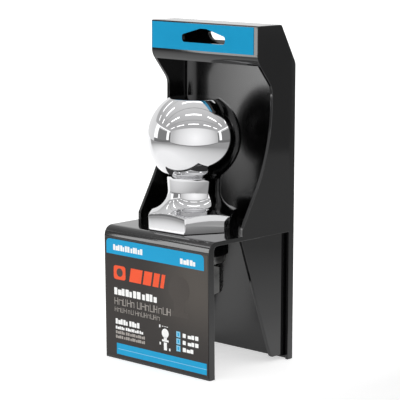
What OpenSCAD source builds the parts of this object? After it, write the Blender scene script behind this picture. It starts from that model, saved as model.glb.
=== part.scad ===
// Trailer hitch ball bolted through the shelf of its moulded display carrier.
//
// +Z is up, +Y points to the carrier's back panel and X runs across it. The
// origin is the middle of the footprint, on the surface the carrier stands on.
// Side outlines are drawn as [depth, height, corner radius], where depth is
// the distance in front of the back panel's rear face.

/* [Carrier] */
// Overall width, across the side walls
carrier_w = 73; // [68:0.1:82]
// Overall depth, from the front label to the back panel
carrier_d = 64; // [61:0.1:74]
// Overall height
carrier_h = 172.3; // [168:0.1:187]
// Thickness of the moulded walls
wall = 1.8; // [1.4:0.1:2.2]
// Radius of the inside corners between the back panel and the side walls
bay_fillet = 6; // [2:0.5:9]

/* [Hood] */
// Depth of the hood, at the header
hood_d = 29.1; // [26:0.1:32]
// Height of the bend below the header's flat face
header_bend_z = 154.9; // [153:0.1:157]
// Height of the header's lower edge
header_lip_z = 152.6; // [150:0.1:153.4]
// Height at which the back panel leans forward
knee_z = 152.7; // [148:0.1:156]
// Depth of the hood's rear top edge
hood_rear_d = 11.1; // [7:0.1:14]

/* [Side walls] */
// Depth of the side walls at their narrow waist
waist_d = 17.7; // [14:0.1:21]
// Height at which the front edge reaches the waist
waist_z = 141; // [138:0.5:146]
// Height of the bend where the front edge sweeps forward
sweep_z = 110; // [106:0.5:115]
// Radius of that sweep
sweep_r = 87; // [52:1:92]
// Depth of the side walls where they meet the shelf
foot_d = 39.2; // [36:0.1:44]
// Height of the upright toe of the front edge
toe_z = 72.9; // [72:0.1:77]

/* [Shelf and apron] */
// Height of the shelf's upper face
shelf_z = 69; // [67:0.1:70]
// Thickness of the shelf
shelf_t = 2.2; // [1.8:0.1:2.6]
// Depth of the returns along the apron's sides and lower edge
apron_return = 3.8; // [2.6:0.1:5]
// Distance that the apron's top stands in front of its foot
apron_lean = 1.1; // [0:0.1:1.8]
// Radius of the bend between shelf and apron
apron_bend_r = 5; // [3.5:0.5:5.5]
// Distance of the leg webs inside the carrier's sides
web_inset = 2.6; // [1.8:0.1:4.4]
// Depth of the leg webs at the shelf
web_top_d = 37.7; // [33:0.1:40]
// Depth of the leg webs at their foot
web_foot_d = 13.9; // [10:0.1:18]

/* [Boss under the shelf] */
// Height of the boss's lower face, where the washer bears
boss_z = 55.9; // [54:0.1:62]
// Outer radius of the boss
boss_r = 17.6; // [16:0.1:21]
// Number of ribs in the boss
boss_ribs = 6; // [3:1:10]

/* [Hang slot] */
// Width of the slot
slot_w = 29.6; // [21:0.1:35]
// Height of its flat lower edge
slot_z = 162; // [160:0.1:164]
// Height of its shoulders above the lower edge
slot_shoulder = 3.8; // [2.6:0.1:4.4]
// Height of its middle above the lower edge
slot_peak = 7.3; // [5.2:0.1:7.5]

/* [Ball] */
// Diameter of the ball, the 1 7/8 inch coupler size
ball_dia = 47.625; // [47.625, 50.8]
// Height of the ball's centre above the shelf
ball_rise = 45.9; // [43:0.1:52]
// Diameter of the flat on the ball's top
ball_flat_dia = 25.4; // [8:0.2:30]
// Distance of the ball's axis in front of the back panel's rear face
ball_d = 35.6; // [33:0.1:38]
// Radius of the neck
neck_r = 13.5; // [11:0.1:15]
// Size of the wrench hexagon across its flats
hex_af = 42.1; // [38.1:0.1:48.1]
// Height of the hexagon at its corners
hex_corner_h = 8; // [5:0.1:9]
// Slope of the cone that leads from the hexagon to the neck
flare_angle = 24; // [15:1:45]
// Radius of the hollow blend between that cone and the neck
flare_r = 10; // [6:0.5:12]
// Turn of the hexagon about the ball's axis
hex_turn = 2.4; // [0:0.1:59.9]
// Diameter of the shank, 3/4 inch
shank_dia = 19.05; // [19.05, 25.4]
// Length of the shank below the hexagon, 1 5/8 inch
shank_l = 41.275; // [38:0.005:50]

/* [Washer and nut] */
// Outer diameter of the lock washer
washer_od = 32.3; // [31:0.1:36]
// Thickness of the lock washer
washer_t = 4; // [3:0.1:5]
// Width of the gap in the lock washer
washer_gap = 1.6; // [1:0.1:3]
// Size of the nut across its flats
nut_af = 28.6; // [28:0.1:32]
// Turn of the nut about the ball's axis
nut_turn = 6; // [0:1:59]
// Height of the nut
nut_h = 16.3; // [14:0.1:18]

/* [Labels] */
// Thickness of the printed labels
label_t = 0.2; // [0.1:0.05:0.4]
// Width of the header label
header_label_w = 69.7; // [52:0.1:70]
// Width of the front label
front_label_w = 71.6; // [52:0.1:72.2]
// Height of the front label
front_label_h = 61.8; // [44:0.1:61.8]

/* [Hidden] */
$fn = 96;

back_y = carrier_d / 2;
// The apron leans out, so its outer corner stands past the label's upper edge
apron_top_y = label_t - carrier_d / 2 - apron_lean * apron_bend_r / shelf_z;
apron_foot_y = apron_top_y + apron_lean;
lean_angle = atan(apron_lean / shelf_z);
shelf_under_z = shelf_z - shelf_t;
hood_slant = atan(hood_rear_d / (carrier_h - knee_z));
header_slant = atan((hood_d - waist_d) / (header_bend_z - waist_z));

ball_y = back_y - ball_d;
ball_z = shelf_z + ball_rise;
ball_r = ball_dia / 2;
shank_r = shank_dia / 2;
shank_end_z = shelf_z - shank_l;
washer_top_z = boss_z;
nut_top_z = washer_top_z - washer_t;
shank_hole_r = shank_r + 0.475;
// Radial clearance of the nut's bore round the shank
nut_play = 0.08;
// Overlap that makes joined solids of one moulding share volume
lap = 0.5;

// ---- outline helpers ----------------------------------------------------

// Points of the arc of radius r that rounds corner b between a and c
function corner(a, b, c, r, steps) =
    let (
        u = (a - b) / norm(a - b),
        v = (c - b) / norm(c - b),
        half = acos(u * v) / 2,
        centre = b + (u + v) / norm(u + v) * r / sin(half),
        first = b + u * r / tan(half) - centre,
        last = b + v * r / tan(half) - centre,
        start = atan2(first.y, first.x),
        sweep = (atan2(last.y, last.x) - start + 540) % 360 - 180
    )
    [for (i = [0:steps]) centre + r * [cos(start + sweep * i / steps),
                                       sin(start + sweep * i / steps)]];

// An outline whose corners [x, y, r] are rounded by their own radius
function rounded(corners, steps = 6) =
    [for (i = [0:len(corners) - 1])
        let (
            count = len(corners),
            before = corners[(i + count - 1) % count],
            here = corners[i],
            after = corners[(i + 1) % count]
        )
        each here[2] == 0
            ? [[here.x, here.y]]
            : corner([before.x, before.y], [here.x, here.y],
                     [after.x, after.y], here[2],
                     here[2] > 20 ? 3 * steps : steps)];

// The same outline with depth turned into the frame's Y
function from_depth(corners) =
    [for (c = corners) [back_y - c.x, c.y, c[2]]];

// A side outline, extruded across X from x0
module across(x0, width, corners) {
    translate([x0, 0, 0])
        rotate([90, 0, 90])
            linear_extrude(height = width)
                polygon(rounded(corners));
}

// Places its children in the leaning plane of the apron's outer face
module on_apron() {
    translate([0, apron_foot_y, 0])
        rotate([lean_angle, 0, 0])
            children();
}

// ---- carrier ------------------------------------------------------------

// Outer side outline of the hood, the side walls and the back panel
shell_outline = from_depth([
    [0, shelf_under_z, 0],
    [foot_d, shelf_under_z, 0],
    [foot_d, toe_z, 1.7],
    [waist_d, sweep_z, sweep_r],
    [waist_d, waist_z, 8],
    [hood_d, header_bend_z, 8],
    [hood_d, carrier_h, 0.7],
    [hood_rear_d, carrier_h, 1.7],
    [0, knee_z, 4.4]
]);

// Side outline of the bay, open to the front below the header's lip
bay_outline = from_depth([
    [wall, shelf_z, 0],
    [wall, knee_z - wall * tan(hood_slant / 2), 3.5],
    [hood_rear_d + wall * tan((90 - hood_slant) / 2), carrier_h - wall, 0.9],
    [hood_d - wall, carrier_h - wall, 0.5],
    [hood_d - wall, header_bend_z + wall * tan(header_slant / 2), 3.5],
    [hood_d - wall - (header_bend_z + wall * tan(header_slant / 2)
        - header_lip_z) * tan(header_slant), header_lip_z, 0],
    [carrier_d, header_lip_z, 0],
    [carrier_d, shelf_z, 0]
]);

// Side outline of the shelf and an apron of thickness t
function apron_outline(t) = [
    [apron_foot_y, 0, 0],
    [apron_top_y, shelf_z, apron_bend_r],
    [back_y - lap, shelf_z, 0],
    [back_y - lap, shelf_under_z, 0],
    [apron_top_y + t, shelf_under_z, apron_bend_r / 2],
    [apron_foot_y + t, 0, 0]
];

// Side outline of one leg web
web_outline = from_depth([
    [lap, shelf_under_z + lap, 0],
    [web_top_d, shelf_under_z + lap, 0],
    [web_foot_d, 2.6, 2.2],
    [web_foot_d / 2, 2.6, 0],
    [web_foot_d / 2, 1.7, 0],
    [lap, 1.7, 0]
]);

// Inside corner between the back panel and the +X side wall
module bay_corner() {
    inner_x = carrier_w / 2 - wall;
    inner_y = back_y - wall;
    translate([0, 0, shelf_z - lap])
        linear_extrude(height = knee_z - shelf_z - wall)
            difference() {
                translate([inner_x - bay_fillet, inner_y - bay_fillet])
                    square(bay_fillet + lap);
                translate([inner_x - bay_fillet, inner_y - bay_fillet])
                    circle(r = bay_fillet);
            }
}

// Hood, side walls and the back panel down to the shelf
module shell() {
    difference() {
        across(-carrier_w / 2, carrier_w, shell_outline);
        across(wall - carrier_w / 2, carrier_w - 2 * wall, bay_outline);
    }
    bay_corner();
    mirror([1, 0, 0])
        bay_corner();
}

// Shelf and apron, with returns round the apron's free edges
module shelf_and_apron() {
    across(-carrier_w / 2, carrier_w, apron_outline(wall));
    for (x = [-carrier_w / 2, carrier_w / 2 - wall])
        across(x, wall, apron_outline(apron_return));
    translate([-carrier_w / 2, apron_foot_y, 0])
        cube([carrier_w, apron_return, wall]);
}

// Back panel below the shelf, with its corner strips and leg webs
module legs() {
    strip_d = 2 * wall + 0.2;
    translate([-carrier_w / 2, back_y - wall, 0])
        cube([carrier_w, wall, shelf_z]);
    for (x = [-carrier_w / 2, carrier_w / 2 - wall])
        translate([x, back_y - strip_d, 0])
            cube([wall, strip_d, shelf_z - lap]);
    for (x = [web_inset - carrier_w / 2, carrier_w / 2 - web_inset - wall])
        across(x, wall, web_outline);
}

// Ribbed boss that carries the washer below the shelf
module boss() {
    height = shelf_under_z + lap - boss_z;
    sleeve_r = shank_hole_r + 2.2;
    difference() {
        cylinder(r = boss_r, h = height);
        translate([0, 0, -1])
            cylinder(r = boss_r - 2.2, h = height + 2);
    }
    cylinder(r = sleeve_r, h = height);
    for (i = [0:boss_ribs - 1])
        rotate([0, 0, i * 360 / boss_ribs])
            translate([sleeve_r - lap, -1, 0])
                cube([boss_r - 1.8 - sleeve_r + lap, 2, height]);
}

// Outline of the hang slot, in X and Z
slot_outline = [
    [-slot_w / 2, slot_z, 1.6],
    [slot_w / 2, slot_z, 1.6],
    [slot_w / 2, slot_z + slot_shoulder, 1.3],
    [2.2, slot_z + slot_peak, 2.6],
    [-2.2, slot_z + slot_peak, 2.6],
    [-slot_w / 2, slot_z + slot_shoulder, 1.3]
];

// Cutter for the hang slot, right through the header and the back
module slot_cutter() {
    translate([0, back_y + 1, 0])
        rotate([90, 0, 0])
            linear_extrude(height = hood_d + 3)
                polygon(rounded(slot_outline));
}

module display_carrier() {
    color("#2b2b2b")
        difference() {
            union() {
                shell();
                shelf_and_apron();
                legs();
                translate([0, ball_y, boss_z])
                    boss();
            }
            slot_cutter();
            translate([0, ball_y, boss_z - 1])
                cylinder(r = shank_hole_r, h = shelf_z - boss_z + 2);
        }
}

// ---- labels -------------------------------------------------------------

module header_label() {
    label_x = -35.9;
    label_z = 158;
    color("#1b9fd6")
        difference() {
            translate([label_x, back_y - hood_d - label_t, label_z])
                cube([header_label_w, label_t, 13.6]);
            slot_cutter();
        }
}

module front_label() {
    color("#3e3a37")
        on_apron()
            translate([-front_label_w / 2, -label_t, 1.2])
                cube([front_label_w, label_t, front_label_h]);
}

// ---- ball ---------------------------------------------------------------

// Neck, hollow flare and cone above the wrench hexagon, as a turned solid
module flare() {
    cone_base_z = hex_corner_h;
    cone_r = hex_af / 2 / cos(30);
    neck_meet_z = cone_base_z + (cone_r - neck_r) * tan(flare_angle);
    blend_r = 3;
    blend_z = sqrt(pow(ball_r + blend_r, 2) - pow(neck_r + blend_r, 2));
    blend_turn = atan(blend_z / (neck_r + blend_r));
    neck_points = corner([cone_r, cone_base_z], [neck_r, neck_meet_z],
                         [neck_r, ball_rise], flare_r, 10);
    ball_blend = [for (i = [0:6])
        [neck_r + blend_r - blend_r * cos(blend_turn * i / 6),
         ball_rise - blend_z + blend_r * sin(blend_turn * i / 6)]];
    rotate_extrude()
        polygon(concat(
            [[0, 0], [cone_r + 1, 0],
             [cone_r + 1, cone_base_z - tan(flare_angle)]],
            neck_points,
            ball_blend,
            [[0, ball_rise]]
        ));
}

// Threaded shank, as a plain cylinder with a chamfered end
module shank() {
    chamfer = 1.5;
    translate([0, 0, shank_end_z + chamfer])
        cylinder(r = shank_r, h = shelf_z - shank_end_z - chamfer + lap);
    translate([0, 0, shank_end_z])
        cylinder(r1 = shank_r - chamfer, r2 = shank_r, h = chamfer);
}

module trailer_ball() {
    flat_h = sqrt(pow(ball_r, 2) - pow(ball_flat_dia / 2, 2));
    color("#d9d9d9")
        translate([0, ball_y, 0]) {
            difference() {
                translate([0, 0, ball_z])
                    sphere(r = ball_r);
                translate([-ball_r, -ball_r, ball_z + flat_h])
                    cube([ball_dia, ball_dia, ball_r]);
            }
            translate([0, 0, shelf_z])
                intersection() {
                    flare();
                    rotate([0, 0, hex_turn])
                        cylinder(d = hex_af / cos(30), h = ball_rise, $fn = 6);
                }
            shank();
        }
}

// ---- washer and nut -----------------------------------------------------

module lock_washer() {
    bore_r = shank_r + 0.3;
    color("#c4c4c4")
        translate([0, ball_y, nut_top_z])
            difference() {
                cylinder(d = washer_od, h = washer_t);
                translate([0, 0, -1])
                    cylinder(r = bore_r, h = washer_t + 2);
                rotate([0, 0, 150])
                    translate([washer_od / 2 - 5, 0, washer_t / 2])
                        rotate([30, 0, 0])
                            cube([18, washer_gap, 4 * washer_t],
                                 center = true);
            }
}

// Turned outline that chamfers the nut's corners at both ends
module nut_chamfer() {
    face_r = nut_af / 2 - 0.6;
    reach_r = nut_af / 2 / cos(30) + 1;
    drop = (reach_r - face_r) * tan(30);
    rotate_extrude()
        polygon([
            [0, 0],
            [face_r, 0],
            [reach_r, drop],
            [reach_r, nut_h - drop],
            [face_r, nut_h],
            [0, nut_h]
        ]);
}

module hex_nut() {
    color("#b8b8b8")
        translate([0, ball_y, nut_top_z - nut_h])
            difference() {
                intersection() {
                    nut_chamfer();
                    rotate([0, 0, nut_turn])
                        cylinder(d = nut_af / cos(30), h = nut_h, $fn = 6);
                }
                translate([0, 0, -1])
                    cylinder(r = shank_r + nut_play, h = nut_h + 2);
            }
}

display_carrier();
header_label();
front_label();
trailer_ball();
lock_washer();
hex_nut();
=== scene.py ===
"""A chrome-plated trailer hitch ball, bolted through the shelf of its moulded display carrier.

The sections follow the order in which the pack is put together: the carrier, its two labels, the ball with
its threaded shank, the lock washer, the nut, and then the studio that it stands in. Lengths are in metres;
mm turns millimetres into them.
"""
import math

import bmesh
import bpy
from mathutils import Matrix, Vector


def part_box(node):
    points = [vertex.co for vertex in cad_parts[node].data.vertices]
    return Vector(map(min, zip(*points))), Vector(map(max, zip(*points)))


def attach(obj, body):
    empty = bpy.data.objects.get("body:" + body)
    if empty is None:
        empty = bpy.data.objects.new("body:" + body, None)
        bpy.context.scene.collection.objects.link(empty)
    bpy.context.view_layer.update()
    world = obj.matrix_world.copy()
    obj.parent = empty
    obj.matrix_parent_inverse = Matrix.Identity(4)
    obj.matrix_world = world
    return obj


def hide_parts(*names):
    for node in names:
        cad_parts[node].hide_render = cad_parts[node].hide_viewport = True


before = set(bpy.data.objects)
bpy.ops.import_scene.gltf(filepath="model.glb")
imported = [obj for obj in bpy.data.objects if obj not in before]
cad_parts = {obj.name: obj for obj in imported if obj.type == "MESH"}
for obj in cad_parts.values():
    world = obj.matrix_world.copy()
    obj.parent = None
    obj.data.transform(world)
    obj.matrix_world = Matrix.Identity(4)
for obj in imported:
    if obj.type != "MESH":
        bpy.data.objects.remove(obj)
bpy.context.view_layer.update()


# ---- Display carrier ------------------------------------------------------------------------
# One injection moulding in black high-impact polystyrene, about 2 mm thick: hood, side walls, back panel,
# shelf and apron leave the tool together. A polished tool gives the gloss, and a real tool never leaves a
# sharp edge, so every edge gets the small round that catches the light.
mm = 0.001


def select_only(piece):
    """Leaves one piece selected and active."""
    bpy.ops.object.select_all(action="DESELECT")
    piece.select_set(True)
    bpy.context.view_layer.objects.active = piece


def modify(piece, kind, **settings):
    """Adds a modifier with its settings and applies it."""
    select_only(piece)
    added = piece.modifiers.new(kind.lower(), kind)
    for name, value in settings.items():
        setattr(added, name, value)
    bpy.ops.object.modifier_apply(modifier=added.name)


def linear(hex_colour):
    """An sRGB colour such as "#1b9fd6" as linear RGBA."""
    levels = [int(hex_colour[i:i + 2], 16) / 255 for i in (1, 3, 5)]
    return [v / 12.92 if v <= 0.04045 else ((v + 0.055) / 1.055) ** 2.4 for v in levels] + [1.0]


def new_material(name):
    """A material with an empty Principled shader; returns the material and that shader."""
    material = bpy.data.materials.new(name)
    material.use_nodes = True
    return material, material.node_tree.nodes["Principled BSDF"]


def add_node(material, kind, inputs=None, **settings):
    """Adds a shader node; an input is a plain value or the socket that feeds it."""
    made = material.node_tree.nodes.new(kind)
    for name, value in settings.items():
        setattr(made, name, value)
    for name, value in (inputs or {}).items():
        if isinstance(value, bpy.types.NodeSocket):
            material.node_tree.links.new(value, made.inputs[name])
        else:
            made.inputs[name].default_value = value
    return made


def feed(material, shader, **sockets):
    """Links sockets to a shader's inputs; an underscore in a name stands for a space."""
    for name, socket in sockets.items():
        material.node_tree.links.new(socket, shader.inputs[name.replace("_", " ")])


# Polystyrene is nearly black inside. Its gloss changes a little with the flow of the melt, and the tool is
# less well polished deep down, where it makes the back panel.
polystyrene, shader = new_material("injection_moulded_black_polystyrene")
shader.inputs["IOR"].default_value = 1.59
place = add_node(polystyrene, "ShaderNodeTexCoord").outputs["Object"]
flow = add_node(polystyrene, "ShaderNodeTexNoise", {"Vector": place, "Scale": 1 / (28 * mm), "Detail": 3.0})
tone = add_node(polystyrene, "ShaderNodeMix", {
    "Factor": flow.outputs["Fac"], 6: linear("#060607"), 7: linear("#0c0c0d")}, data_type="RGBA")
shine = add_node(polystyrene, "ShaderNodeMapRange", {
    "Value": flow.outputs["Fac"], "From Min": 0.3, "From Max": 0.7, "To Min": 0.05, "To Max": 0.08})
depth = add_node(polystyrene, "ShaderNodeSeparateXYZ", {"Vector": place})
panel_haze = add_node(polystyrene, "ShaderNodeMapRange", {
    "Value": depth.outputs["Y"], "From Min": 27 * mm, "From Max": 29.5 * mm, "To Min": 0.0, "To Max": 0.13})
gloss = add_node(polystyrene, "ShaderNodeMath", {
    0: shine.outputs["Result"], 1: panel_haze.outputs["Result"]}, operation="ADD")
grain = add_node(polystyrene, "ShaderNodeTexNoise", {"Vector": place, "Scale": 1 / (0.9 * mm), "Detail": 2.0})
relief = add_node(polystyrene, "ShaderNodeBump", {
    "Height": grain.outputs["Fac"], "Distance": 0.01 * mm, "Strength": 0.25})
feed(polystyrene, shader, Base_Color=tone.outputs[2], Roughness=gloss.outputs["Value"],
     Normal=relief.outputs["Normal"])

edge_round = 0.3 * mm
fillet_top = 150.4 * mm
header_lip = 152.6 * mm
carrier = bpy.data.objects.new("carrier_moulding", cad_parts["display_carrier"].data.copy())
bpy.context.scene.collection.objects.link(carrier)
carrier.data.materials.clear()
carrier.data.materials.append(polystyrene)
select_only(carrier)
bpy.ops.object.mode_set(mode="EDIT")
bpy.ops.mesh.select_all(action="SELECT")
bpy.ops.mesh.remove_doubles(threshold=0.004 * mm)
bpy.ops.mesh.dissolve_limited(angle_limit=math.radians(0.4))
# The slanting front edges of both walls make one concave face with the header's, which is split at its
# inward corners
bpy.ops.mesh.select_all(action="DESELECT")
edited = bmesh.from_edit_mesh(carrier.data)
for face in edited.faces:
    face.select_set(face.normal.y < -0.7 and face.normal.z < -0.6)
bmesh.update_edit_mesh(carrier.data)
bpy.ops.mesh.vert_connect_concave()
bpy.ops.mesh.select_all(action="DESELECT")
bpy.ops.mesh.edges_select_sharp(sharpness=math.radians(26))
# The fillets run out to nothing under the hood, and the face over the header's lower edge is narrower than
# a round, so the edges at both heights stay as they are
edited = bmesh.from_edit_mesh(carrier.data)
for edge in edited.edges:
    for height in (fillet_top, header_lip):
        if all(abs(v.co.z - height) < 0.05 * mm for v in edge.verts):
            edge.select_set(False)
bmesh.update_edit_mesh(carrier.data)
bpy.ops.mesh.bevel(offset=edge_round, segments=3, clamp_overlap=False)
bpy.ops.object.mode_set(mode="OBJECT")
modify(carrier, "WEIGHTED_NORMAL", keep_sharp=True)
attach(carrier, "carrier")
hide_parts("display_carrier")


# ---- Header label ---------------------------------------------------------------------------
# A self-adhesive paper label in plain blue, laminated with a clear film, with the hang slot cut through it.
# The film gives an even satin gloss; the ink under it is slightly cloudy.


def printed_film(name, hex_colour, cloud_hex):
    """Ink under clear film: a colour that clouds over a few millimetres, and an even satin gloss."""
    ink, ink_shader = new_material(name)
    where = add_node(ink, "ShaderNodeTexCoord").outputs["Object"]
    cloud = add_node(ink, "ShaderNodeTexNoise", {"Vector": where, "Scale": 1 / (6 * mm), "Detail": 4.0})
    mixed = add_node(ink, "ShaderNodeMix", {
        "Factor": cloud.outputs["Fac"], 6: linear(hex_colour), 7: linear(cloud_hex)}, data_type="RGBA")
    fibre = add_node(ink, "ShaderNodeTexNoise", {"Vector": where, "Scale": 1 / (0.5 * mm), "Detail": 2.0})
    skin = add_node(ink, "ShaderNodeBump", {
        "Height": fibre.outputs["Fac"], "Distance": 0.004 * mm, "Strength": 0.2})
    ink_shader.inputs["Roughness"].default_value = 0.38
    ink_shader.inputs["Specular IOR Level"].default_value = 0.22
    feed(ink, ink_shader, Base_Color=mixed.outputs[2], Normal=skin.outputs["Normal"])
    return ink


blue_ink = printed_film("laminated_blue_print", "#079bcd", "#10a3d5")
header_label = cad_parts["header_label"]
header_label.data.materials.clear()
header_label.data.materials.append(blue_ink)


# ---- Front label ----------------------------------------------------------------------------
# A printed and laminated sheet that covers the leaning apron. Its ground is a warm dark grey that lightens
# to the upper right, with blue bands, an orange mark, rows of small print and a ball pictogram in flat inks.
# All words are drawn as plain blocks, and the mark is a generic one.
ground, shader = new_material("laminated_grey_print")
place = add_node(ground, "ShaderNodeTexCoord").outputs["Object"]
axes = add_node(ground, "ShaderNodeSeparateXYZ", {"Vector": place})
across = add_node(ground, "ShaderNodeMapRange", {
    "Value": axes.outputs["X"], "From Min": -12 * mm, "From Max": 30 * mm}, interpolation_type="SMOOTHSTEP")
upward = add_node(ground, "ShaderNodeMapRange", {
    "Value": axes.outputs["Z"], "From Min": 10 * mm, "From Max": 45 * mm}, interpolation_type="SMOOTHSTEP")
glow = add_node(ground, "ShaderNodeMath", {
    0: across.outputs["Result"], 1: upward.outputs["Result"]}, operation="MULTIPLY")
tone = add_node(ground, "ShaderNodeMix", {
    "Factor": glow.outputs["Value"], 6: linear("#332f2d"), 7: linear("#514c47")}, data_type="RGBA")
shader.inputs["Roughness"].default_value = 0.38
shader.inputs["Specular IOR Level"].default_value = 0.22
feed(ground, shader, Base_Color=tone.outputs[2])
front_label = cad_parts["front_label"]
front_label.data.materials.clear()
front_label.data.materials.append(ground)

white_ink = printed_film("laminated_white_print", "#f1f1ef", "#fbfbfa")
grey_ink = printed_film("laminated_light_grey_print", "#a09a94", "#aaa49e")
orange_ink = printed_film("laminated_orange_print", "#f0532b", "#f65d35")
pale_ink = printed_film("laminated_pale_blue_print", "#7fc3e2", "#8bcbe8")
ghost_ink = printed_film("laminated_shadow_print", "#47423e", "#4a4541")

bpy.ops.object.select_all(action="DESELECT")
bpy.ops.mesh.primitive_plane_add(size=1 * mm)
print_sheet = bpy.context.object
print_sheet.name = "front_label_print"
inks = [blue_ink, white_ink, grey_ink, orange_ink, pale_ink, ghost_ink]
for ink in inks:
    print_sheet.data.materials.append(ink)
bpy.ops.object.mode_set(mode="EDIT")
bpy.ops.mesh.select_all(action="SELECT")
bpy.ops.mesh.delete(type="VERT")


def ink_block(x, z, width, height, ink, corner=0.0, slant=0.0, lift=0.0):
    """Prints a block from its lower left corner x, z, in millimetres on the apron; lift raises the ink."""
    middle_x, middle_z = (x + width / 2) * mm, (z + height / 2) * mm
    bpy.ops.mesh.primitive_plane_add(size=mm, location=(middle_x, -lift * mm, middle_z),
                                     rotation=(math.pi / 2, 0, 0))
    bpy.ops.transform.resize(value=(width, 1, height), center_override=(middle_x, 0, middle_z))
    if slant:
        edited = bmesh.from_edit_mesh(print_sheet.data)
        for point in (v for v in edited.verts if v.select):
            point.co.x += slant * (point.co.z / mm - z) / height * mm
    if corner:
        bpy.ops.mesh.bevel(offset=corner * mm, segments=4, affect="VERTICES")
    print_sheet.active_material_index = inks.index(ink)
    bpy.ops.object.material_slot_assign()


def ink_disc(x, z, radius, ink, lift=0.0):
    """Prints a disc with its centre at x, z."""
    bpy.ops.mesh.primitive_circle_add(vertices=48, radius=radius * mm, fill_type="NGON",
                                      location=(x * mm, -lift * mm, z * mm),
                                      rotation=(math.pi / 2, 0, 0))
    print_sheet.active_material_index = inks.index(ink)
    bpy.ops.object.material_slot_assign()


letter_gap = 0.22
word_gap = 3 * letter_gap
on_top = 0.03


def ink_row(x, z, height, right, words, ink, outline=0.0):
    """Prints a row of words as blocks from x to right; words holds each word's count of blocks. With an
    outline, each block is two thin uprights and a cross-bar."""
    gaps = sum(words) - len(words) + 3 * (len(words) - 1)
    pitch = (right - x) / (sum(words) + letter_gap * gaps)
    at = x
    count = 0
    for word in words:
        for _ in range(word):
            count += 1
            wide = pitch * (0.84 + 0.08 * ((count * 7) % 5))
            tall = height * (0.78 if (count * 5) % 3 == 1 else 1.0)
            if outline:
                for upright in (at, at + wide - outline):
                    ink_block(upright, z, outline, tall, ink, lift=on_top)
                bar_z = z + (tall - outline) * (count % 3) / 2
                ink_block(at + outline, bar_z, wide - 2 * outline, outline, ink, lift=on_top)
            else:
                ink_block(at, z, wide, tall, ink, corner=0.12 * wide, lift=on_top)
            at += pitch * (1 + letter_gap)
        at += pitch * (word_gap - letter_gap)


# A faint hitch ball in the ground
ink_disc(16.2, 43.1, 7.1, ghost_ink)
ink_block(12.7, 31.8, 7, 6.5, ghost_ink, lift=-0.01)
ink_block(9.6, 29.2, 13.2, 2.6, ghost_ink, corner=0.3)
# Bands at the top and the foot
ink_block(-34.8, 55, 68.1, 7.8, blue_ink, corner=2.3)
ink_block(-34.8, 55, 68.1, 3.8, blue_ink, lift=0.01)
ink_block(-28.3, 2.8, 63, 5.8, blue_ink)
ink_block(-27.5, 5.5, 62.3, 0.3, pale_ink, lift=0.02)
ink_row(-29.8, 57.1, 3, -9.1, [7, 5], white_ink)
ink_row(17.3, 56.4, 2.8, 27.8, [5], white_ink)
# Orange mark: a round-cornered tile with a hole, and a run of leaning bars
ink_block(-29.7, 42.1, 8.5, 7.2, orange_ink, corner=1.4)
ink_disc(-25.4, 45.8, 2.2, ghost_ink, lift=on_top)
bar_left = -18.6
for bar_width in (8.4, 5.6, 4, 2.4):
    ink_block(bar_left, 42.1, bar_width, 7.1, orange_ink, slant=1.4)
    bar_left += bar_width + 1.3
# Rows of small print
ink_row(-29.5, 34, 3.7, 0.9, [7, 4], white_ink)
ink_row(-29.4, 28.8, 3.7, 10.6, [5, 8], grey_ink, outline=0.37)
ink_row(-29.3, 25.1, 2.5, 2.6, [4, 2, 8], grey_ink, outline=0.26)
ink_row(-28.8, 18.7, 2.8, -11.8, [5, 4], white_ink)
ink_row(-28.8, 16, 1.6, -9.2, [5, 7, 2], white_ink)
ink_row(-28.8, 13.6, 1.6, -7.7, [5, 2, 8], grey_ink)
ink_row(-28.8, 11.2, 1.6, -7.7, [4, 3, 8], grey_ink)
# Pictogram of the ball on its shank
ink_disc(6.5, 19.3, 2.4, white_ink)
ink_block(5.5, 15.8, 2.1, 1.7, white_ink)
ink_block(4.3, 15, 4.5, 1, white_ink)
ink_block(5.5, 10.6, 2.1, 4, white_ink, lift=0.01)
for tick_x, tick_z in ((2.3, 21.9), (2.5, 13), (9.1, 10.6)):
    ink_block(tick_x, tick_z, 0.9, 1.4, white_ink)
for dash in range(3):
    ink_block(4.3 + 1.6 * dash, 22.6, 1, 0.3, white_ink)
# Size table: three pale squares and their values
for square_z, row_end, values in ((18.8, 29.1, [1, 3]), (15.2, 29.1, [1, 3]), (11.6, 25.9, [3])):
    ink_block(14.2, square_z, 2.7, 3, pale_ink)
    ink_block(15.1, square_z + 0.7, 1, 1.6, blue_ink, lift=0.02)
    ink_row(18.6, square_z + 0.4, 2.1, row_end, values, white_ink)
bpy.ops.object.mode_set(mode="OBJECT")

# The sheet of ink is laid just over the label, which starts 1.2 mm up the apron. The apron leans back by
# 1.1 mm over its 69 mm.
modify(print_sheet, "SOLIDIFY", thickness=0.03 * mm, offset=1.0)
apron_lean = math.atan2(1.1, 69)
label_t = 0.2 * mm
ink_gap = 0.02 * mm
label_low, label_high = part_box("front_label")
label_foot = Vector((0, label_high.y, label_low.z))
up_apron = Vector((0, -math.sin(apron_lean), math.cos(apron_lean)))
apron_foot = label_foot - up_apron * 1.2 * mm
print_sheet.data.transform(Matrix.Translation(apron_foot) @ Matrix.Rotation(apron_lean, 4, "X")
                           @ Matrix.Translation((0, -label_t - ink_gap, 0)))
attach(print_sheet, "carrier")


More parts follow.
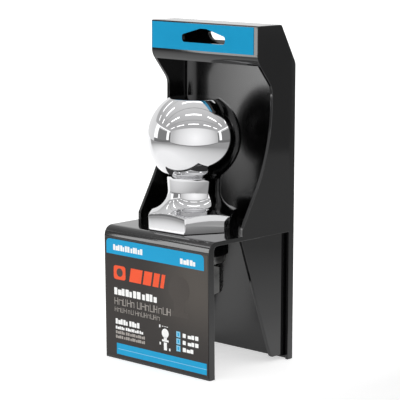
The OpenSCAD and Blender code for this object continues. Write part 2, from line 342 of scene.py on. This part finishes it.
# ---- Trailer ball ---------------------------------------------------------------------------
# One steel forging, turned, threaded, polished and chrome-plated: ball with a small flat on top, slightly
# tapered neck, hollow flare, wrench hexagon and a 3/4-16 right-hand thread. The chrome is a mirror; only
# faint polishing haze and a trace of waviness soften it.
ball_low, ball_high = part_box("trailer_ball")
axis = Vector(((ball_low.x + ball_high.x) / 2, (ball_low.y + ball_high.y) / 2, 0))
shelf_z = 69 * mm
ball_r = 23.8125 * mm
ball_z = shelf_z + 45.9 * mm
ball_flat_r = 12.7 * mm
neck_top_r = 13.75 * mm
neck_foot_r = 13.35 * mm
hexagon_flats = 42.1 * mm
hexagon_turn = math.radians(2.4)
corner_height = 8 * mm
cone_slope = math.radians(24)
flare_r = 10 * mm
blend_r = 3 * mm
# A ring just inside the hexagon's flats, where the cone starts to be cut by them
cone_ring_r = 20.8 * mm
round_steps = 192
fine = 0.001 * mm


def hexagon_radius(angle, flats, turn):
    """Distance from the axis to a hexagon's outline at an angle; turn is the angle of one corner."""
    from_corner = (angle - turn) % (math.pi / 3)
    return flats / 2 / math.cos(from_corner - math.pi / 6)


def next_ring(piece, radius_at, height_at):
    """Extrudes the selected rim and moves it to a radius and a height that may change with the angle."""
    bpy.ops.mesh.extrude_region_move()
    edited = bmesh.from_edit_mesh(piece.data)
    for point in (v for v in edited.verts if v.select):
        angle = math.atan2(point.co.y - axis.y, point.co.x - axis.x)
        radius = radius_at(angle)
        point.co = Vector((axis.x + radius * math.cos(angle), axis.y + radius * math.sin(angle),
                           height_at(angle)))
    bmesh.update_edit_mesh(piece.data)


def level_ring(piece, radius, height):
    """Extrudes the selected rim to a plain circle."""
    next_ring(piece, lambda angle: radius, lambda angle: height)


def select_rim(piece, height):
    """Selects the open edges at one height."""
    bpy.ops.mesh.select_mode(type="EDGE")
    bpy.ops.mesh.select_all(action="DESELECT")
    edited = bmesh.from_edit_mesh(piece.data)
    for edge in edited.edges:
        level = all(abs(v.co.z - height) < 0.01 * mm for v in edge.verts)
        edge.select_set(level and edge.is_boundary)
    bmesh.update_edit_mesh(piece.data)


blend_drop = math.sqrt((ball_r + blend_r) ** 2 - (neck_top_r + blend_r) ** 2)
blend_turn = math.atan2(blend_drop, neck_top_r + blend_r)
blend_z = ball_z - blend_drop
blend_top_z = blend_z + blend_r * math.sin(blend_turn)
flat_z = ball_z + math.sqrt(ball_r ** 2 - ball_flat_r ** 2)

bpy.ops.object.select_all(action="DESELECT")
bpy.ops.mesh.primitive_uv_sphere_add(segments=round_steps, ring_count=round_steps // 2, radius=ball_r,
                                     location=axis + Vector((0, 0, ball_z)),
                                     rotation=(0, 0, hexagon_turn))
ball = bpy.context.object
ball.name = "chromed_ball"
bpy.ops.object.transform_apply(location=True, rotation=True, scale=True)
bpy.ops.object.mode_set(mode="EDIT")
bpy.ops.mesh.select_all(action="SELECT")
bpy.ops.mesh.bisect(plane_co=(0, 0, flat_z), plane_no=(0, 0, 1), use_fill=True, clear_outer=True,
                    threshold=fine)
bpy.ops.mesh.select_all(action="SELECT")
bpy.ops.mesh.bisect(plane_co=(0, 0, blend_top_z), plane_no=(0, 0, -1), clear_outer=True,
                    threshold=fine)
select_rim(ball, blend_top_z)
blend_steps = 8
for step in range(blend_steps - 1, -1, -1):
    turn = blend_turn * step / blend_steps
    level_ring(ball, neck_top_r + blend_r - blend_r * math.cos(turn), blend_z + blend_r * math.sin(turn))
corner_r = hexagon_flats / 2 / math.cos(math.pi / 6)
cone_top_z = shelf_z + corner_height + (corner_r - neck_foot_r) * math.tan(cone_slope)
flare_turn = math.pi / 2 - cone_slope
flare_z = cone_top_z + flare_r * math.tan(flare_turn / 2)
flare_steps = 14
for step in range(flare_steps + 1):
    turn = flare_turn * step / flare_steps
    level_ring(ball, neck_foot_r + flare_r * (1 - math.cos(turn)), flare_z - flare_r * math.sin(turn))


def hexagon_edge(angle):
    """Distance from the axis to the wrench hexagon's outline."""
    return hexagon_radius(angle, hexagon_flats, hexagon_turn)


def cone_height(radius):
    """Height of the cone between the flare and the hexagon's corners."""
    return shelf_z + corner_height + (corner_r - radius) * math.tan(cone_slope)


level_ring(ball, cone_ring_r, cone_height(cone_ring_r))
next_ring(ball, hexagon_edge, lambda angle: cone_height(hexagon_edge(angle)))
next_ring(ball, hexagon_edge, lambda angle: shelf_z)
bpy.ops.mesh.edge_face_add()
bpy.ops.mesh.select_all(action="SELECT")
bpy.ops.mesh.normals_make_consistent(inside=False)
bpy.ops.mesh.select_all(action="DESELECT")
bpy.ops.mesh.edges_select_sharp(sharpness=math.radians(28))
bpy.ops.mesh.bevel(offset=0.45 * mm, segments=5)
bpy.ops.object.mode_set(mode="OBJECT")

# The thread: one pitch of its outline, carried up the shank as a helix and trimmed to length.
pitch = 25.4 / 16 * mm
shank_end_z = ball_low.z


def threaded_rod(name, crest, root, low_z, high_z):
    """A closed right-hand threaded rod on the ball's axis; every rod is in step with every other."""
    start_z = shank_end_z - 3 * pitch
    # Flats of a quarter and an eighth of the pitch at root and crest, and flanks at close to 60 degrees
    outline = [(root, 0), (root, 0.125), (crest, 0.4375), (crest, 0.5625), (root, 0.875), (root, 1)]
    mesh = bpy.data.meshes.new(name)
    mesh.from_pydata([(r, 0, z * pitch) for r, z in outline],
                     [(i, i + 1) for i in range(len(outline) - 1)], [])
    rod = bpy.data.objects.new(name, mesh)
    bpy.context.scene.collection.objects.link(rod)
    turns = math.ceil((high_z - start_z) / pitch) + 2
    modify(rod, "SCREW", axis="Z", angle=2 * math.pi, screw_offset=pitch, iterations=turns, steps=48,
           render_steps=48, use_merge_vertices=True, merge_threshold=0.01 * mm, use_smooth_shade=True)
    rod.data.transform(Matrix.Translation(axis + Vector((0, 0, start_z))))
    bpy.ops.object.mode_set(mode="EDIT")
    bpy.ops.mesh.select_all(action="SELECT")
    bpy.ops.mesh.remove_doubles(threshold=0.005 * mm)
    bpy.ops.mesh.bisect(plane_co=(0, 0, low_z), plane_no=(0, 0, -1), use_fill=True, clear_outer=True,
                        threshold=fine)
    bpy.ops.mesh.select_all(action="SELECT")
    bpy.ops.mesh.bisect(plane_co=(0, 0, high_z), plane_no=(0, 0, 1), use_fill=True, clear_outer=True,
                        threshold=fine)
    bpy.ops.mesh.select_all(action="SELECT")
    bpy.ops.mesh.normals_make_consistent(inside=False)
    bpy.ops.object.mode_set(mode="OBJECT")
    return rod


def cut_with(piece, tool, operation):
    """Joins, cuts or trims a piece with a tool body, which is then thrown away."""
    modify(piece, "BOOLEAN", operation=operation, object=tool, solver="EXACT")
    bpy.data.objects.remove(tool)


thread_crest = 9.5 * mm
thread_root = 8.56 * mm
shank = threaded_rod("shank", thread_crest, thread_root, shank_end_z, shelf_z - 2 * mm)
# A 45 degree cone trims the end, and a collar runs the thread out into the hexagon
tip_r = 8 * mm
cone_h = 60 * mm
bpy.ops.object.select_all(action="DESELECT")
bpy.ops.mesh.primitive_cone_add(vertices=96, radius1=tip_r, radius2=tip_r + cone_h, depth=cone_h,
                                location=axis + Vector((0, 0, shank_end_z + cone_h / 2)))
cut_with(shank, bpy.context.object, "INTERSECT")
bpy.ops.object.select_all(action="DESELECT")
bpy.ops.mesh.primitive_cylinder_add(vertices=96, radius=thread_root, depth=6 * mm,
                                    location=axis + Vector((0, 0, shelf_z)))
cut_with(shank, bpy.context.object, "UNION")
cut_with(ball, shank, "UNION")
select_only(ball)
bpy.ops.object.shade_smooth_by_angle(angle=math.radians(17))

chrome, shader = new_material("polished_chrome_plate")
shader.inputs["Metallic"].default_value = 1.0
place = add_node(chrome, "ShaderNodeTexCoord").outputs["Object"]
haze = add_node(chrome, "ShaderNodeTexNoise", {"Vector": place, "Scale": 1 / (9 * mm), "Detail": 5.0})
tint = add_node(chrome, "ShaderNodeMix", {
    "Factor": haze.outputs["Fac"], 6: linear("#d3d3d5"), 7: linear("#dadadb")}, data_type="RGBA")
polish = add_node(chrome, "ShaderNodeMapRange", {
    "Value": haze.outputs["Fac"], "From Min": 0.35, "From Max": 0.75, "To Min": 0.02, "To Max": 0.05})
wave = add_node(chrome, "ShaderNodeTexNoise", {"Vector": place, "Scale": 1 / (5 * mm), "Detail": 1.0})
ripple = add_node(chrome, "ShaderNodeBump", {
    "Height": wave.outputs["Fac"], "Distance": 0.004 * mm, "Strength": 0.3})
feed(chrome, shader, Base_Color=tint.outputs[2], Roughness=polish.outputs["Result"],
     Normal=ripple.outputs["Normal"])
ball.data.materials.clear()
ball.data.materials.append(chrome)
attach(ball, "ball")
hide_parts("trailer_ball")


# ---- Lock washer ----------------------------------------------------------------------------
# A split spring washer, coiled from square steel wire, cut off on the slant and bright zinc-plated. Screwed
# down, it lies flat and only the slanted gap shows.
washer_low, washer_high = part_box("lock_washer")
washer_t = washer_high.z - washer_low.z
washer_outer = 16.15 * mm
washer_bore = 9.85 * mm
gap_angle = math.radians(5.6)
gap_place = math.radians(150)
gap_slant = math.radians(30)
middle_r = (washer_outer + washer_bore) / 2
wire_w = washer_outer - washer_bore

bpy.ops.object.select_all(action="DESELECT")
bpy.ops.mesh.primitive_plane_add(size=1, rotation=(math.pi / 2, 0, 0))
washer = bpy.context.object
washer.name = "split_lock_washer"
washer.scale = (wire_w, washer_t, 1)
washer.location = Vector((middle_r, 0, 0))
bpy.ops.object.transform_apply(location=True, rotation=True, scale=True)
bpy.ops.object.mode_set(mode="EDIT")
bpy.ops.mesh.select_all(action="SELECT")
bpy.ops.mesh.bevel(offset=0.5 * mm, segments=4, affect="VERTICES")
bpy.ops.mesh.select_all(action="SELECT")
bpy.ops.mesh.spin(steps=128, angle=2 * math.pi - gap_angle, center=(0, 0, 0), axis=(0, 0, 1))
bpy.ops.mesh.select_all(action="SELECT")
bpy.ops.mesh.normals_make_consistent(inside=False)
bpy.ops.object.mode_set(mode="OBJECT")
for point in washer.data.vertices:
    round_angle = math.atan2(point.co.y, point.co.x)
    slant_shift = point.co.z * math.tan(gap_slant) / middle_r
    turned = round_angle + slant_shift
    radius = math.hypot(point.co.x, point.co.y)
    point.co.x = radius * math.cos(turned)
    point.co.y = radius * math.sin(turned)
washer.data.transform(Matrix.Translation(axis + Vector((0, 0, (washer_low.z + washer_high.z) / 2)))
                      @ Matrix.Rotation(gap_place, 4, "Z"))
select_only(washer)
bpy.ops.object.shade_smooth_by_angle(angle=math.radians(30))


def zinc_plate(name, dark_hex, light_hex, smooth, rough):
    """Zinc plate on steel: a spangled grey metal with a fine grain, smooth to rough in roughness."""
    plate, plate_shader = new_material(name)
    plate_shader.inputs["Metallic"].default_value = 1.0
    where = add_node(plate, "ShaderNodeTexCoord").outputs["Object"]
    spangle = add_node(plate, "ShaderNodeTexNoise", {"Vector": where, "Scale": 1 / (2.5 * mm), "Detail": 6.0})
    grey = add_node(plate, "ShaderNodeMix", {
        "Factor": spangle.outputs["Fac"], 6: linear(dark_hex), 7: linear(light_hex)}, data_type="RGBA")
    dull = add_node(plate, "ShaderNodeMapRange", {
        "Value": spangle.outputs["Fac"], "From Min": 0.3, "From Max": 0.7, "To Min": smooth, "To Max": rough})
    pits = add_node(plate, "ShaderNodeTexNoise", {"Vector": where, "Scale": 1 / (0.35 * mm), "Detail": 3.0})
    tooth = add_node(plate, "ShaderNodeBump", {
        "Height": pits.outputs["Fac"], "Distance": 0.02 * mm, "Strength": 0.35})
    feed(plate, plate_shader, Base_Color=grey.outputs[2], Roughness=dull.outputs["Result"],
         Normal=tooth.outputs["Normal"])
    return plate


washer.data.materials.clear()
washer.data.materials.append(zinc_plate("bright_zinc_on_spring_steel", "#d6d6d4", "#e8e8e6", 0.3, 0.5))
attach(washer, "washer")
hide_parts("lock_washer")


# ---- Hex nut --------------------------------------------------------------------------------
# A cold-forged hexagon nut, chamfered on both faces, tapped 3/4-16 right-hand and zinc-plated. Its grey is
# painted
# shade: far darker than zinc, it stands in for the dark moulding the nut mirrors under the shelf, so it is
# darker than the washer.
nut_low, nut_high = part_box("hex_nut")
nut_flats = 28.6 * mm
nut_turn = math.radians(6)
nut_face_r = nut_flats / 2 - 0.6 * mm
chamfer_slope = math.tan(math.radians(30))


def nut_edge(angle):
    """Distance from the axis to the nut's outline."""
    return hexagon_radius(angle, nut_flats, nut_turn)


bpy.ops.object.select_all(action="DESELECT")
bpy.ops.mesh.primitive_circle_add(vertices=round_steps, radius=nut_face_r, fill_type="NGON",
                                  location=axis + Vector((0, 0, nut_high.z)), rotation=(0, 0, nut_turn))
nut = bpy.context.object
nut.name = "zinc_hex_nut"
bpy.ops.object.transform_apply(location=True, rotation=True, scale=True)
bpy.ops.object.mode_set(mode="EDIT")
select_rim(nut, nut_high.z)
next_ring(nut, nut_edge, lambda angle: nut_high.z - (nut_edge(angle) - nut_face_r) * chamfer_slope)
next_ring(nut, nut_edge, lambda angle: nut_low.z + (nut_edge(angle) - nut_face_r) * chamfer_slope)
level_ring(nut, nut_face_r, nut_low.z)
bpy.ops.mesh.edge_face_add()
bpy.ops.mesh.select_all(action="SELECT")
bpy.ops.mesh.normals_make_consistent(inside=False)
bpy.ops.mesh.select_all(action="DESELECT")
bpy.ops.mesh.edges_select_sharp(sharpness=math.radians(25))
bpy.ops.mesh.bevel(offset=0.25 * mm, segments=3)
bpy.ops.object.mode_set(mode="OBJECT")
thread_play = 0.09 * mm
cut_with(nut, threaded_rod("tap", thread_crest + thread_play, thread_root + thread_play,
                           nut_low.z - 2 * mm, nut_high.z + 2 * mm), "DIFFERENCE")
# A 45 degree cone opens the thread at each mouth, from 1 mm outside the face to 2 mm inside it
mouth_r = thread_crest + 0.6 * mm
for mouth_z, tilt in ((nut_low.z, 0), (nut_high.z, math.pi)):
    bpy.ops.object.select_all(action="DESELECT")
    bpy.ops.mesh.primitive_cone_add(vertices=96, radius1=mouth_r + 1 * mm, radius2=mouth_r - 2 * mm,
                                    depth=3 * mm, rotation=(tilt, 0, 0),
                                    location=axis + Vector((0, 0, mouth_z + 0.5 * mm * math.cos(tilt))))
    cut_with(nut, bpy.context.object, "DIFFERENCE")
select_only(nut)
bpy.ops.object.shade_smooth_by_angle(angle=math.radians(22))
nut.data.materials.clear()
# Painted shade: the greys #4e4e4e to #6a6a69 are darkened far below zinc for the dark the nut mirrors under
# the shelf
nut.data.materials.append(zinc_plate("zinc_on_forged_steel_darkened_as_painted_shade", "#4e4e4e", "#6a6a69", 0.16, 0.3))
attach(nut, "nut")
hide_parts("hex_nut")


# ---- Studio ---------------------------------------------------------------------------------
# A white table top under a white sky, at the end of a large pale room: its ceiling lamps, its bright end wall
# and its tall windows are what the chrome mirrors. The room is out of the picture, and so is the table's
# shaded edge. It stands square to the camera, and its unit is the height of the ceiling above the ball.
facing = math.radians(43.02)
room_h = 3.0
room_place = (Matrix.Translation((0, axis.y, ball_z)) @ Matrix.Rotation(facing, 4, "Z")
              @ Matrix.Scale(room_h, 4))
wall_x, front, rear, wall_foot = 3.05, -1.75, 1.2, -0.75


def glowing(name, strength):
    """A stage material that gives off even white light and reflects nothing."""
    light, light_shader = new_material(name)
    light_shader.inputs["Base Color"].default_value = (0, 0, 0, 1)
    light_shader.inputs["Roughness"].default_value = 1.0
    light_shader.inputs["Specular IOR Level"].default_value = 0.0
    light_shader.inputs["Emission Color"].default_value = (1, 1, 1, 1)
    light_shader.inputs["Emission Strength"].default_value = strength
    return light


def stage_panel(name, material, corners):
    """A flat stage panel through four corners, given in the room's own axes."""
    bpy.ops.object.select_all(action="DESELECT")
    bpy.ops.mesh.primitive_plane_add(size=1)
    panel = bpy.context.object
    panel.name = name
    for point, corner in zip((panel.data.vertices[i] for i in (0, 1, 3, 2)), corners):
        point.co = corner
    panel.data.materials.append(material)
    panel.data.transform(room_place)


def fade_away(material, centre, near, far, at_near, at_far):
    """Fades a stage light's strength with the distance from a point in the room."""
    where = add_node(material, "ShaderNodeTexCoord").outputs["Object"]
    away = add_node(material, "ShaderNodeVectorMath", {0: where, 1: room_place @ Vector(centre)},
                    operation="DISTANCE")
    fade = add_node(material, "ShaderNodeMapRange", {
        "Value": away.outputs["Value"], "From Min": near * room_h, "From Max": far * room_h,
        "To Min": at_near, "To Max": at_far})
    feed(material, material.node_tree.nodes["Principled BSDF"], Emission_Strength=fade.outputs["Result"])


ceiling_light = glowing("ceiling_paint", 0.7)
fade_away(ceiling_light, (0, 0.5, 1), near=0.2, far=1.9, at_near=0.95, at_far=0.58)
strip_light = glowing("strip_lamp", 3.4)
frame_light = glowing("window_frame", 1.7)
pane_light = glowing("window_pane", 0.3)
dark_light = glowing("dark_joint", 0.24)
wall_light = glowing("end_wall", 1.0)
fade_away(wall_light, (0.1, front, 0.15), near=0.0, far=2.6, at_near=1.42, at_far=0.72)


def wall_panel(name, material, side, y0, y1, z0, z1, proud=0.0):
    """An upright panel on a side wall."""
    at = side * (wall_x - proud)
    stage_panel(name, material, [(at, y0, z0), (at, y1, z0), (at, y1, z1), (at, y0, z1)])


def ceiling_panel(name, material, x0, x1, y0, y1, z):
    """A level panel at or just under the ceiling."""
    stage_panel(name, material, [(x0, y0, z), (x1, y0, z), (x1, y1, z), (x0, y1, z)])


def end_panel(name, material, y, z0, z1):
    """An upright panel right across the end wall."""
    stage_panel(name, material, [(-wall_x, y, z0), (wall_x, y, z0), (wall_x, y, z1), (-wall_x, y, z1)])


# Four rows of strip lamps hang just under the ceiling, with a dark joint between one row and the next
lamp_rows = 4
row_pitch = 0.73
lamp_pitch = 0.98
lamp_half_l = 0.34
lamp_half_w = 0.035
ceiling_panel("ceiling", ceiling_light, -wall_x, wall_x, front, rear + 0.9, 1)
for row in range(lamp_rows):
    row_y = -1.2 + row_pitch * row
    for lamp in range(-2, 3):
        middle = lamp_pitch * lamp - 0.03
        ceiling_panel(f"strip_{row}_{lamp + 2}", strip_light, middle - lamp_half_l, middle + lamp_half_l,
                      row_y - lamp_half_w, row_y + lamp_half_w, 0.99)
    if row < lamp_rows - 1:
        ceiling_panel(f"joint_{row}", dark_light, -wall_x, wall_x, row_y + 0.35, row_y + 0.37, 0.992)
end_panel("end_wall", wall_light, front, wall_foot, 1)
end_panel("end_skirting", dark_light, front + 0.02, wall_foot, -0.39)
for side, name in ((-1, "left"), (1, "right")):
    wall_panel(f"{name}_post", dark_light, side, front, front + 0.3, wall_foot, 1.0)
    wall_panel(f"{name}_pane", pane_light, side, front + 0.3, 1.1, wall_foot, 0.9)
    wall_panel(f"{name}_head", frame_light, side, front + 0.1, 1.4, 0.86, 0.97, proud=0.02)
    wall_panel(f"{name}_rail", frame_light, side, front + 0.1, 1.1, 0.78, 0.81, proud=0.02)
    wall_panel(f"{name}_bar", frame_light, side, front + 0.3, front + 0.72, -0.15, 0.86, proud=0.02)
    wall_panel(f"{name}_jamb", frame_light, side, 0.56, 1.4, -0.15, 0.9, proud=0.02)
    wall_panel(f"{name}_skirting", dark_light, side, front, 1.4, wall_foot, -0.2, proud=0.03)

# The table top is white. Towards the camera, out of the picture, it falls off into shade.
table_w = 1.64
table_l = 6
table_front = 0.47
table_paint, shader = new_material("white_table_top")
shader.inputs["Base Color"].default_value = (0.8, 0.8, 0.8, 1)
shader.inputs["Roughness"].default_value = 0.9
shader.inputs["Specular IOR Level"].default_value = 0.0
shader.inputs["Emission Color"].default_value = (1, 1, 1, 1)
place = add_node(table_paint, "ShaderNodeTexCoord").outputs["Object"]
turned = add_node(table_paint, "ShaderNodeVectorRotate", {"Vector": place, "Angle": -facing},
                  rotation_type="Z_AXIS")
axes = add_node(table_paint, "ShaderNodeSeparateXYZ", {"Vector": turned.outputs["Vector"]})
sideways = add_node(table_paint, "ShaderNodeMath", {0: axes.outputs["X"]}, operation="ABSOLUTE")
forward = add_node(table_paint, "ShaderNodeMath", {
    0: sideways.outputs["Value"], 1: axes.outputs["Y"]}, operation="SUBTRACT")
in_front = add_node(table_paint, "ShaderNodeMapRange", {
    "Value": forward.outputs["Value"], "From Min": 0.02, "From Max": 0.14, "To Min": 0.0, "To Max": 1.0})
length = add_node(table_paint, "ShaderNodeVectorMath", {
    0: turned.outputs["Vector"], 1: (-0.15, 0, 0)}, operation="DISTANCE")
shade = add_node(table_paint, "ShaderNodeMapRange", {
    "Value": length.outputs["Value"], "From Min": 0.12, "From Max": 0.5, "To Min": 0.0, "To Max": 1.0})
shaded = add_node(table_paint, "ShaderNodeMath", {
    0: shade.outputs["Result"], 1: in_front.outputs["Result"]}, operation="MULTIPLY")
paint = add_node(table_paint, "ShaderNodeMix", {
    "Factor": shaded.outputs["Value"], 6: (0.8, 0.8, 0.8, 1), 7: (0.1, 0.1, 0.1, 1)}, data_type="RGBA")
lit = add_node(table_paint, "ShaderNodeMapRange", {
    "Value": shaded.outputs["Value"], "To Min": 0.55, "To Max": 0.35})
feed(table_paint, shader, Base_Color=paint.outputs[2], Emission_Strength=lit.outputs["Result"])
bpy.ops.object.select_all(action="DESELECT")
bpy.ops.mesh.primitive_plane_add(size=1)
table = bpy.context.object
table.name = "table_top"
bpy.ops.object.mode_set(mode="EDIT")
bpy.ops.transform.resize(value=(table_w, table_l, 1))
bpy.ops.transform.translate(value=(0, table_l / 2 - table_front, 0))
bpy.ops.object.mode_set(mode="OBJECT")
table.data.transform(Matrix.Rotation(facing, 4, "Z"))
table.data.materials.append(table_paint)

# A soft box in front of the carrier's left side, which only the black moulding sees, draws the sheen on its
# back panel.
box_data = bpy.data.lights.new("panel_soft_box", "AREA")
box_data.shape = "RECTANGLE"
box_data.size = 0.18
box_data.size_y = 0.27
box_data.energy = 0.75
soft_box = bpy.data.objects.new("panel_soft_box", box_data)
bpy.context.scene.collection.objects.link(soft_box)
soft_box.location = (-0.331, -0.461, 0.165)
soft_box.rotation_mode = "QUATERNION"
soft_box.rotation_quaternion = Vector((0.652, 0.748, 0)).to_track_quat("-Z", "Y")
soft_box.visible_camera = False
seen_by = bpy.data.collections.new("seen_by_the_soft_box")
seen_by.objects.link(carrier)
soft_box.light_linking.receiver_collection = seen_by

world = bpy.data.worlds.new("white_sky")
world.use_nodes = True
world.node_tree.nodes["Background"].inputs["Color"].default_value = (1, 1, 1, 1)
world.node_tree.nodes["Background"].inputs["Strength"].default_value = 1.0
bpy.context.scene.world = world
bpy.context.scene.view_settings.view_transform = "Standard"

camera_data = bpy.data.cameras.new("camera")
camera_data.lens = 162.1
camera_data.clip_start = 0.05
camera_data.clip_end = 200
camera = bpy.data.objects.new("camera", camera_data)
bpy.context.scene.collection.objects.link(camera)
azimuth, elevation, roll = facing, math.radians(9.43), math.radians(0.18)
back = Vector((math.sin(azimuth) * math.cos(elevation), -math.cos(azimuth) * math.cos(elevation),
               math.sin(elevation)))
camera.rotation_mode = "QUATERNION"
camera.rotation_quaternion = (-back).to_track_quat("-Z", "Y") @ Matrix.Rotation(roll, 3, "Z").to_quaternion()
camera.location = (0.6177, -0.6611, 0.2327)
bpy.context.scene.camera = camera
